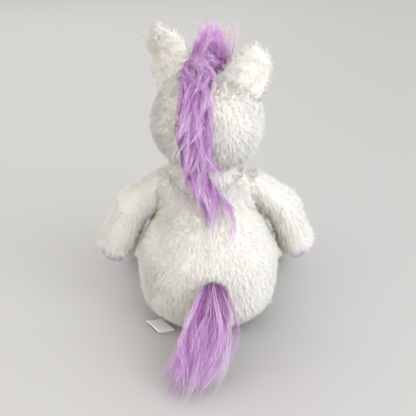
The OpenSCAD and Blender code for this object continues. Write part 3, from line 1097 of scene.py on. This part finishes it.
def hairs(locks, per_lock, spread, shade, rng, close, wave=1.0 * MM, strays=0.06):
    """Strands that follow each lock and close up towards its tip: their paths, radii and shades."""
    count, steps, _ = locks.shape
    total = count * per_lock
    t = np.linspace(0, 1, steps)
    along_t = t[None, :, None]
    own = rng.normal(size=(total, 1, 3)) * np.repeat(spread, per_lock)[:, None, None]
    stray = (rng.random(total) < strays)[:, None, None]
    narrowing = np.where(stray, 1 + 0.8 * along_t, 1 - close * along_t ** 0.8)
    cut = (np.repeat(rng.uniform(0.78, 1, count), per_lock) * rng.uniform(0.75, 1, total))[:, None, None]
    base = np.repeat(locks, per_lock, 0)
    along = along_t * cut * (steps - 1)
    low = np.clip(np.floor(along).astype(int), 0, steps - 2)
    part = along - low
    index = np.arange(total)[:, None]
    base = base[index, low[..., 0]] * (1 - part) + base[index, low[..., 0] + 1] * part
    phase = rng.random((total, 1, 3)) * 2 * np.pi
    ripple = wave * np.sin(phase + along_t * (4 + 5 * rng.random((total, 1, 1)))) * along_t
    shared = rng.random((count, 1, 3)) * 2 * np.pi
    curl = 1.6 * wave * np.sin(shared + along_t * rng.uniform(4, 8, (count, 1, 1))) * along_t
    paths = base + own * narrowing + ripple + np.repeat(curl, per_lock, 0)
    shades = np.repeat(shade, per_lock) + 0.1 * rng.normal(size=total)
    pale = rng.random(total) < PALE_STRANDS
    shades = np.clip(np.where(pale, rng.uniform(0.6, 1, total), shades), 0, 1)
    return paths, mane().strand / 2 * np.linspace(1, TIP_THICKNESS, steps - 1), shades


MANE_HEIGHTS = np.array([80, 90, 100, 130, 150, 200, 220, 240]) * MM
MANE_MIDDLE = np.array([-4, -3, -1, 2, 7, 5.5, 2, -3]) * MM
MANE_HALF = np.array([1, 2.5, 4, 8, 9.5, 10.5, 12.5, 12.5]) * MM
MANE_LOCKS, CROWN_LOCKS, LOCKS_IN_A_WISP = 405, 105, 6
MANE_STRANDS = TAIL_STRANDS = 14
MANE_STEPS, MANE_STIFF = 11, 0.35
MANE_SUNK = 3 * MM
MANE_TOP, MANE_GIVE = 250 * MM, 8 * MM
CROWN_ARC, MANE_ARC = (-24, 34), (0, 128)
NAPE_FROM = 1.25


def sideways(values):
    """Vectors along X of these lengths."""
    return values[:, None] * [1.0, 0, 0]


def mane_locks(rng):
    """The mane's locks: roots along the head's middle from the horn to the nape."""
    count = MANE_LOCKS
    in_crown = np.arange(count) < CROWN_LOCKS
    arc = np.radians(np.concatenate([rng.uniform(*CROWN_ARC, CROWN_LOCKS),
                                     np.linspace(*MANE_ARC, count - CROWN_LOCKS)])
                     + rng.normal(size=count) * 2)
    across = rng.uniform(-9, np.where(in_crown, 13, 5)) * MM
    none = np.zeros(count)
    out = np.stack([none, np.sin(arc), np.cos(arc)], 1)
    back = np.stack([none, np.cos(arc), -np.sin(arc)], 1)
    roots = SKULL + out * (SKULL_R - MANE_SUNK)
    roots[:, 0] = across
    crown = np.where(in_crown, rng.uniform(0.65, 1, count) - 0.55 * np.clip(arc, 0, 1), 0)
    aside = 0.35 * (crown == 0) + np.clip(across / (8 * MM), -1, 1) * rng.uniform(0.1, 0.4, count)
    ways = unit(out * (0.7 + 1.3 * crown)[:, None] + back * (1.1 - 0.8 * crown)[:, None]
                + sideways(aside - 0.5 * crown))
    reach = np.where(crown > 0, 25 + 38 * rng.random(count) ** 1.3, rng.uniform(46, 82, count)) * MM
    layer = rng.uniform(1.5, 12, count) * MM * np.clip(1.15 - 0.5 * (arc / 2.2), 0.4, 1)
    return from_head(roots), from_head(ways), reach, layer, crown, arc


class UNICORN_OT_mane(bpy.types.Operator):
    """Grows the mane from the crown to the nape and lets it fall down the back"""

    bl_idname = "unicorn.mane"
    bl_label = "Mane"

    def execute(self, context):
        rng = np.random.default_rng(5)
        roots, ways, reach, layer, crown, arc = mane_locks(rng)
        count = len(roots)
        wisp = np.arange(count) // LOCKS_IN_A_WISP
        shared = rng.random((5, wisp[-1] + 1))[:, wisp]
        loose = 0.16 * rng.normal(size=(2, count))
        start = -1.1 + 1.5 * shared[0] + loose[0]
        end = np.where(arc < 1.7, -0.35 + 1.7 * shared[1], -0.7 + 1.3 * shared[1]) + loose[1]
        end = np.where((shared[2] < 0.1) & (arc > 1.2), -1.3 - shared[1], end)
        reach = reach * np.where(crown > 0, 1, 0.82 + 0.3 * shared[3])

        def pull(place, share):
            """Down, and sideways to where each lock runs across the mane's width."""
            lane = start + (end - start) * min(1, 1.25 * share)
            middle, half = (np.interp(place[:, 2], MANE_HEIGHTS, line) for line in (MANE_MIDDLE, MANE_HALF))
            steer = np.clip((middle + lane * half - place[:, 0]) / (12 * MM), -1, 1)
            push = np.stack([0.75 * steer, np.zeros(count), np.full(count, -0.34)], 1)
            stray = 0.12 * (1 - 0.6 * crown)[:, None] * wander(place, 60.0, 3)
            return push * (1 - 0.9 * crown)[:, None] + stray

        locks = drape(roots, ways, reach, layer, pull, MANE_STEPS, MANE_STIFF)
        # Painted shade and light: locks of the under layers keep near the dark root colour, as the shade
        # under the mane, and outer locks reach further towards the pale tip colour and are more often pale
        # strands.
        outer = np.clip(layer / (10 * MM), 0, 1)
        shade = np.where(rng.random(count) < 0.1 + 0.3 * outer, rng.uniform(0.3, 0.9, count),
                         rng.uniform(0, 0.15, count))
        ripe = 0.22 + 0.6 * outer ** 1.3 + 0.42 * shared[4] + 0.08 * rng.normal(size=count) + 0.15 * crown
        ripe = np.repeat(np.clip(ripe, 0.25, 1), MANE_STRANDS)
        spread = np.where(crown > 0, 2.4, 1.7) * MM
        paths, thick, shades = hairs(locks, MANE_STRANDS, spread, shade, rng, 0.72)
        over = np.maximum(paths[:, :, 2] - MANE_TOP, 0)
        paths[:, :, 2] -= over - MANE_GIVE * (1 - np.exp(-over / MANE_GIVE))
        crest, nape = np.arange(count) < CROWN_LOCKS, arc >= NAPE_FROM
        for name, chosen, node in (
                ("mane_crown", crest, "mane_backing"), ("mane_back", ~crest & ~nape, "mane_pile"),
                ("mane_nape", ~crest & nape, "mane_nape_lock")):
            mine = np.repeat(chosen, MANE_STRANDS)
            piece = tubes(name, paths[mine], thick, shades[mine], ripe=ripe[mine])
            piece.data.materials.append(mane_fibre())
            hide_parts(node)
            if name == "mane_crown":
                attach(piece, "head")
            else:
                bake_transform(piece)
        return {"FINISHED"}


TAIL_LOCKS, TAIL_WISPS, TAIL_STEPS = 270, 42, 12
TAIL_STATIONS = TAIL_ROOT / MM + np.array(
    [[0, -5, -15], [1, 12, -11], [1, 26, -22], [5, 44, -37], [13, 70, -48], [20, 96, -53]])
TAIL_WIDTH = (6, 10, 14, 17, 15, 13)
TAIL_DEPTH = (5, 8, 9, 9, 7, 4)
TAIL_LEAN = np.array([[0, 0, 1], [0, 0.3, 1], [0, 0.8, 0.6], [0, 0.7, 0.7], [0, 0.3, 1], [0, 0, 1]])
TABLE_GAP = 0.6 * MM


def through_knots(knots, t):
    """Smooth curves through rows of knots. t is the knot number of each point that is wanted."""
    last = knots.shape[1] - 1
    low = np.clip(np.floor(t).astype(int), 0, last - 1)
    part = (t - low)[:, :, None]
    own = np.arange(len(knots))[:, None]
    before, start, end, after = (
        knots[own, np.clip(low + step, 0, last)] for step in (-1, 0, 1, 2))
    return 0.5 * (2 * start + (end - before) * part
                  + (2 * before - 5 * start + 4 * end - after) * part ** 2
                  + (3 * start - before - 3 * end + after) * part ** 3)


class UNICORN_OT_tail(bpy.types.Operator):
    """Grows the tail from its root, over and down to the table"""

    bl_idname = "unicorn.tail"
    bl_label = "Tail"

    def execute(self, context):
        rng = np.random.default_rng(8)
        count, wisps = TAIL_LOCKS, TAIL_WISPS
        wisp = np.arange(count) % wisps
        turn = rng.uniform(0, 2 * np.pi, wisps)[wisp]
        out = np.sqrt(rng.random(wisps))[wisp]
        loose = 0.2 * rng.normal(size=(2, count))
        side, height = out * np.cos(turn) + loose[0], out * np.sin(turn) + loose[1]
        side_end = np.clip(0.5 * out * np.cos(turn) + 0.2 + 0.65 * rng.normal(size=wisps)[wisp], -1.2, 1.4)
        side_end = side_end + 0.6 * loose[0]
        sway = (rng.normal(size=(wisps, 2)) * 4.5)[wisp]
        length = rng.uniform(0.8, 1, wisps)[wisp]
        knots = []
        for number, station in enumerate(TAIL_STATIONS):
            share = number / (len(TAIL_STATIONS) - 1)
            across = (side * (1 - share) + side_end * share) * TAIL_WIDTH[number]
            across = across + sway[:, 0] * np.sin(3 * share * np.pi + sway[:, 1]) * share
            knots.append(station + sideways(across) + height[:, None] * TAIL_DEPTH[number] * TAIL_LEAN[number]
                         + rng.normal(size=(count, 3)) * 0.4 * number)
        knots = np.stack(knots, 1) * MM
        knots[:, :, 2] = np.maximum(knots[:, :, 2], 2 * MM)
        locks = through_knots(knots, np.linspace(0, len(TAIL_STATIONS) - 1, TAIL_STEPS) * length[:, None])
        # Painted light and shade: strands at the tail's edges and on its outer side are more often pale and
        # reach further towards the pale tip colour, and those in its middle stay darker, as the shaded middle
        # of the tail.
        pale = rng.random(count) < 0.25 + 0.3 * np.abs(side) + 0.1 * (height > 0.5)
        shade = np.where(pale, rng.uniform(0.35, 0.95, count), rng.uniform(0, 0.2, count))
        ripe = 0.62 + 0.3 * height + 0.25 * np.abs(side) + 0.25 * rng.normal(size=wisps)[wisp]
        ripe = np.repeat(np.clip(ripe, 0.3, 1), TAIL_STRANDS)
        spread = rng.uniform(0.6, 1.9, count) * MM
        paths, thick, shades = hairs(locks, TAIL_STRANDS, spread, shade, rng, 0.65, 1.9 * MM, 0.12)
        paths[:, :, 2] = np.maximum(paths[:, :, 2], TABLE_GAP)
        half = np.arange(len(paths)) % 2 == 0
        for name, mine, node in (
                ("tail_pile_over", half, "tail_pile"), ("tail_pile_under", ~half, "tail_core")):
            piece = tubes(name, paths[mine], thick, shades[mine], ripe=ripe[mine])
            finish_piece(piece, mane_fibre(), "tail", [node])
        return {"FINISHED"}


# ---- horn ----

def wrap_grid(name, columns, rows, place):
    """A grid of faces bent to a shape: place(across, along) gives its points, each from 0 to 1."""
    thing = primitive("grid", name, x_subdivisions=columns, y_subdivisions=rows, size=2)
    flat = get_points(thing)
    set_points(thing, place((flat[:, 0] + 1) / 2, (flat[:, 1] + 1) / 2))
    return thing


def close_up(thing):
    """Merges a form's meeting edges, closes its ends and turns its faces outwards."""
    with editing(thing):
        bpy.ops.mesh.remove_doubles(threshold=0.02 * MM)
        bpy.ops.mesh.select_all(action="DESELECT")
        bpy.ops.mesh.select_non_manifold()
        bpy.ops.mesh.edge_face_add()
        bpy.ops.mesh.select_all(action="SELECT")
        bpy.ops.mesh.normals_make_consistent(inside=False)
    shade_smooth(thing)


def horn_length():
    """Length of the horn, from how high its tip stands."""
    return (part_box("horn_cover")[1].z - HORN_FOOT[2]) / math.cos(HORN_LEAN)


HORN_ROOT_R, HORN_TIP_R, HORN_PUFF = 8 * MM, 2.1 * MM, 1.3 * MM
HORN_THREAD_END = 2 * MM  # below the tip
HORN_CAP = 0.05


class UNICORN_OT_horn(bpy.types.Operator):
    """Makes the cloth horn, drawn into a twist by its wound thread"""

    bl_idname = "unicorn.horn"
    bl_label = "Horn"

    def execute(self, context):
        total = horn_length()
        lean = np.array(Matrix.Rotation(HORN_LEAN, 3, "X"))
        wound_length = total - HORN_THREAD_END - HORN_THREAD_START

        def place(across, along):
            height = along * total
            turn = 2 * np.pi * across
            wound = 2 * np.pi * HORN_THREAD_TURNS * (height - HORN_THREAD_START) / wound_length
            cone = HORN_ROOT_R + (HORN_TIP_R - HORN_ROOT_R) * along
            swollen = cone + HORN_PUFF * (1 - 0.7 * along) * np.abs(np.sin((turn - wound) / 2))
            r = swollen * np.sqrt(np.clip((1 - along) / HORN_CAP, 0, 1))
            own = np.stack([r * np.cos(turn), r * np.sin(turn), height], 1)
            return from_head(own @ lean.T + HORN_FOOT)

        form = wrap_grid("horn_twist", 40, 110, place)
        close_up(form)
        cloth = woven("Horn cloth", (0.62, 0.56, 0.49), (0.38, 0.335, 0.29), 900.0, 0.38, 0.6, 0.35)
        finish_piece(form, cloth, "head", ["horn_cover", "horn_filling"])
        dress("horn_thread", woven("Horn thread", (0.58, 0.52, 0.44), (0.36, 0.31, 0.25), 2500.0, 0.4))
        return {"FINISHED"}


# ---- face ----

def dress(node, look):
    """Gives a CAD node that stays a better material."""
    mesh = frame["nodes"][node].data
    mesh.materials.clear()
    mesh.materials.append(look)


def stitches(name, ends, radius):
    """Short plump threads, one between each pair of ends, as one piece."""
    made = []
    for a, b in ends:
        a, b = Vector(a), Vector(b)
        thread = primitive("uv_sphere", segments=8, ring_count=7, radius=1)
        shape = Matrix.Diagonal((radius, radius, (b - a).length / 2 + radius, 1))
        turn = (b - a).to_track_quat("Z", "Y").to_matrix().to_4x4()
        thread.data.transform(Matrix.Translation((a + b) / 2) @ turn @ shape)
        made.append(thread)
    piece = join(made)
    piece.name = name
    shade_smooth(piece)
    return piece


def face_thread():
    return woven("Face thread", (0.62, 0.40, 0.44), (0.42, 0.24, 0.28), 2500.0, 0.5)


NOSTRIL_HALF, NOSTRIL_STITCHES = 2.4 * MM, 7


class UNICORN_OT_face(bpy.types.Operator):
    """Sets the bead eyes and sews the nostrils and the mouth"""

    bl_idname = "unicorn.face"
    bl_label = "Face"

    def execute(self, context):
        bead = mottled("Eye bead", (0.012, 0.010, 0.010), (0.035, 0.022, 0.016), 0.08, 300.0, 0.02, 0, 0.6)
        muzzle = bpy.data.objects["muzzle_plush"]
        lift = 0.5 * MM
        for word in SIDE_NAMES.values():
            dress(f"eye_{word}", bead)
            centre = middle_of(f"nostril_{word}")
            out = unit(centre - from_head(SNOUT_TIP))
            across = unit(np.cross([0, 0, 1], out))
            up = np.cross(out, across)
            ends = []
            for share in np.linspace(-0.85, 0.85, NOSTRIL_STITCHES):
                half = 2.3 * MM * math.sqrt(1 - share ** 2)
                middle = centre + NOSTRIL_HALF * share * up
                ends.append(laid_on(muzzle, (middle - half * across, middle + half * across), lift))
            patch = stitches(f"nostril_stitches_{word}", ends, 0.42 * MM)
            finish_piece(patch, face_thread(), "head", [f"nostril_{word}"])
        arc = laid_on(muzzle, mouth_line(), lift)
        mouth = stitches("mouth_stitches", list(zip(arc[:-1], arc[1:])), 0.65 * MM)
        finish_piece(mouth, face_thread(), "head", ["mouth_stitch"])
        return {"FINISHED"}


# ---- what is sewn in or lies inside ----

BACK_STITCHES = 5
STITCH_DEPTH = 2.4 * MM  # below the stuffed skin's depth, where the pinched seam lies
STITCH_SLANT = 1 * MM
LABEL_LOOP_R, LABEL_HEIGHT, LABEL_CURL = 0.45 * MM, 0.9 * MM, 2.2 * MM
LABEL_FOLD = 0.08
PELLET_PITCH, PELLET_R = 6.4 * MM, 2.4 * MM


class UNICORN_OT_seams(bpy.types.Operator):
    """Sews the back closed and sets the seat panel and the blank label"""

    bl_idname = "unicorn.seams"
    bl_label = "Seat, label and stitches"

    def execute(self, context):
        low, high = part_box("closing_stitches")
        ends = []
        for z in np.linspace(low.z, high.z, BACK_STITCHES):
            y = body_radius(z) - plush().skin_depth - STITCH_DEPTH
            ends.append(((low.x, y, z - STITCH_SLANT), (high.x, y, z + STITCH_SLANT)))
        thread = stitches("back_stitches", ends, 0.5 * MM)
        finish_piece(thread, woven("Thread", (0.80, 0.74, 0.62), (0.6, 0.54, 0.42), 2500.0, 0.6),
                     "torso", ["closing_stitches"])

        seat = copy_node("seat_plush", "seat_panel")
        apply_modifier(seat, "BEVEL", width=1 * MM, segments=3)
        finish_piece(seat, plush_skin(), "torso", ["seat_panel"])

        points = node_points("label")
        middle = points.mean(0)
        out = unit(middle * [1, 1, 0])
        across = np.cross([0, 0, 1], out)
        reach, width = np.ptp(points @ out), np.ptp(points @ across)
        inner = middle - out * reach / 2

        def place(sideways, along):
            run = np.abs(along - 0.5) * 2
            fold = np.clip((1 - run) / LABEL_FOLD, 0, 1)
            height = np.sign(along - 0.5) * LABEL_LOOP_R * np.sqrt(1 - (1 - fold) ** 2)
            curl = LABEL_CURL * (1 - run) ** 2 + 0.5 * MM * np.sin(5 * sideways) * (1 - run)
            spot = inner + (1 - run)[:, None] * reach * out + ((sideways - 0.5) * width)[:, None] * across
            spot[:, 2] = LABEL_HEIGHT + height + curl
            return spot

        label = wrap_grid("label_satin", 16, 60, place)
        apply_modifier(label, "SOLIDIFY", thickness=0.16 * MM, offset=0)
        shade_smooth(label)
        finish_piece(label, woven("Label satin", (0.92, 0.92, 0.92), (0.78, 0.78, 0.8), 1800.0, 0.35, 0.3),
                     "torso", ["label"])
        return {"FINISHED"}


class UNICORN_OT_inside(bpy.types.Operator):
    """Makes the bag of pellets in the seat, and finishes the eye washers"""

    bl_idname = "unicorn.inside"
    bl_label = "Pellets and washers"

    def execute(self, context):
        bag = stuff(copy_node("pellet_pouch", "pellets"), 4 * MM, 5 * MM, 2 * MM)
        finish_piece(bag, woven("Bag cloth", (0.78, 0.77, 0.74), (0.6, 0.59, 0.56), 700.0, 0.8),
                     "torso", ["pellet_bag"])
        rng = np.random.default_rng(3)
        axes = [np.arange(low + 3 * PELLET_PITCH / 2, high - PELLET_PITCH, PELLET_PITCH)
                for low, high in zip(*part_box("pellets"))]
        spots = np.stack(np.meshgrid(*axes), -1).reshape(-1, 3)
        spots = spots + rng.uniform(-0.6, 0.6, spots.shape) * MM
        inside = np.hypot(spots[:, 0], spots[:, 1]) < body_radius(spots[:, 2]) - 13 * MM
        for hip in HIP.values():
            inside &= ~near(spots, hip, 28 * MM)
        spots = spots[inside]
        beads = primitive("uv_sphere", "pellet_beads", segments=8, ring_count=5, radius=PELLET_R)
        one = [tuple(face.vertices) for face in beads.data.polygons]
        shape = get_points(beads)
        sizes = rng.uniform(0.85, 1.05, (len(spots), 1, 3))
        points = (spots[:, None] + shape[None] * sizes).reshape(-1, 3)
        faces = [tuple(len(shape) * bead + corner for corner in face)
                 for bead in range(len(spots)) for face in one]
        beads.data.clear_geometry()
        beads.data.from_pydata(points.tolist(), [], faces)
        shade_smooth(beads)
        plastic = mottled("Pellet plastic", (0.82, 0.84, 0.86), (0.7, 0.72, 0.75), 0.4, patch=120.0, sheen=0)
        finish_piece(beads, plastic, "torso", ["pellets"])
        washer = mottled("Washer plastic", (0.80, 0.80, 0.78), (0.72, 0.72, 0.7), 0.45, patch=200.0, sheen=0)
        for word in SIDE_NAMES.values():
            dress(f"eye_washer_{word}", washer)
        return {"FINISHED"}


# ---- stage ----

SKY_TINT = (1.0, 0.985, 0.965, 1)
LIGHTS = {  # place, size, share of the window's power, colour
    "window": ((-0.85, 1.15, 0.8), 1.3, 1.0, (0.97, 0.98, 1.0)),
    "bounce": ((1.0, 1.1, 0.45), 1.3, 0.38, (1.0, 0.93, 0.83)),
    "room": ((0.5, -1.5, 1.0), 1.6, 0.2, (1.0, 0.98, 0.95)),
}
LIGHTS_AIM = Vector((0, 0, 0.1))
CAMERA_PLACE, CAMERA_PITCH = (0, 0.695, 0.354), 20.4
SENSOR_WIDTH = 36


class UNICORN_OT_stage(bpy.types.Operator):
    """Sets the pale floor, the soft light and the camera"""

    bl_idname = "unicorn.stage"
    bl_label = "Stage"

    def execute(self, context):
        s = context.scene.unicorn_stage
        floor = primitive("plane", "floor", size=12, location=(0, 0, 0))
        floor.data.materials.append(
            mottled("Floor paint", s.floor, times(s.floor, 0.985), 0.55, patch=2.0, bump=0.02, sheen=0))

        world = context.scene.world or bpy.data.worlds.new("World")
        context.scene.world = world
        world.use_nodes = True
        sky = world.node_tree.nodes["Background"]
        sky.inputs["Color"].default_value = SKY_TINT
        sky.inputs["Strength"].default_value = s.sky

        for name, (place, size, share, tint) in LIGHTS.items():
            bpy.ops.object.light_add(type="AREA", location=place)
            light = context.active_object
            light.name = name
            light.data.size = size
            light.data.energy = s.key * share
            light.data.color = tint
            light.rotation_euler = (LIGHTS_AIM - light.location).to_track_quat("-Z", "Y").to_euler()

        bpy.ops.object.camera_add(
            location=CAMERA_PLACE, rotation=(math.radians(90 - CAMERA_PITCH), 0, math.pi))
        camera = context.active_object
        camera.data.lens = s.lens
        camera.data.sensor_width = SENSOR_WIDTH
        camera.data.clip_start = 0.01
        context.scene.camera = camera
        context.scene.view_settings.view_transform = "Standard"
        return {"FINISHED"}


class UNICORN_PT_panel(bpy.types.Panel):
    """Lists the steps that make the toy"""

    bl_idname = "UNICORN_PT_panel"
    bl_label = "Plush Unicorn"
    bl_space_type = "VIEW_3D"
    bl_region_type = "UI"
    bl_category = "Plush Unicorn"

    def draw(self, context):
        for key, settings in SETTINGS.items():
            box = self.layout.box()
            for name in settings.__annotations__:
                box.prop(getattr(context.scene, key), name)
        for step in STEPS:
            self.layout.operator(step.bl_idname)


STEPS = (
    UNICORN_OT_stage,
    UNICORN_OT_body,
    UNICORN_OT_neck,
    UNICORN_OT_head,
    UNICORN_OT_ears,
    UNICORN_OT_forelegs,
    UNICORN_OT_hind_legs,
    UNICORN_OT_mane,
    UNICORN_OT_tail,
    UNICORN_OT_horn,
    UNICORN_OT_face,
    UNICORN_OT_seams,
    UNICORN_OT_inside,
)
CLASSES = (*SETTINGS.values(), *STEPS, UNICORN_PT_panel)


def register():
    for made in CLASSES:
        bpy.utils.register_class(made)
    for key, settings in SETTINGS.items():
        setattr(bpy.types.Scene, key, bpy.props.PointerProperty(type=settings))


def unregister():
    for key in SETTINGS:
        delattr(bpy.types.Scene, key)
    for made in reversed(CLASSES):
        bpy.utils.unregister_class(made)


def main():
    register()
    for step in STEPS:
        family, name = step.bl_idname.split(".")
        getattr(getattr(bpy.ops, family), name)()


if __name__ == "__main__":
    main()
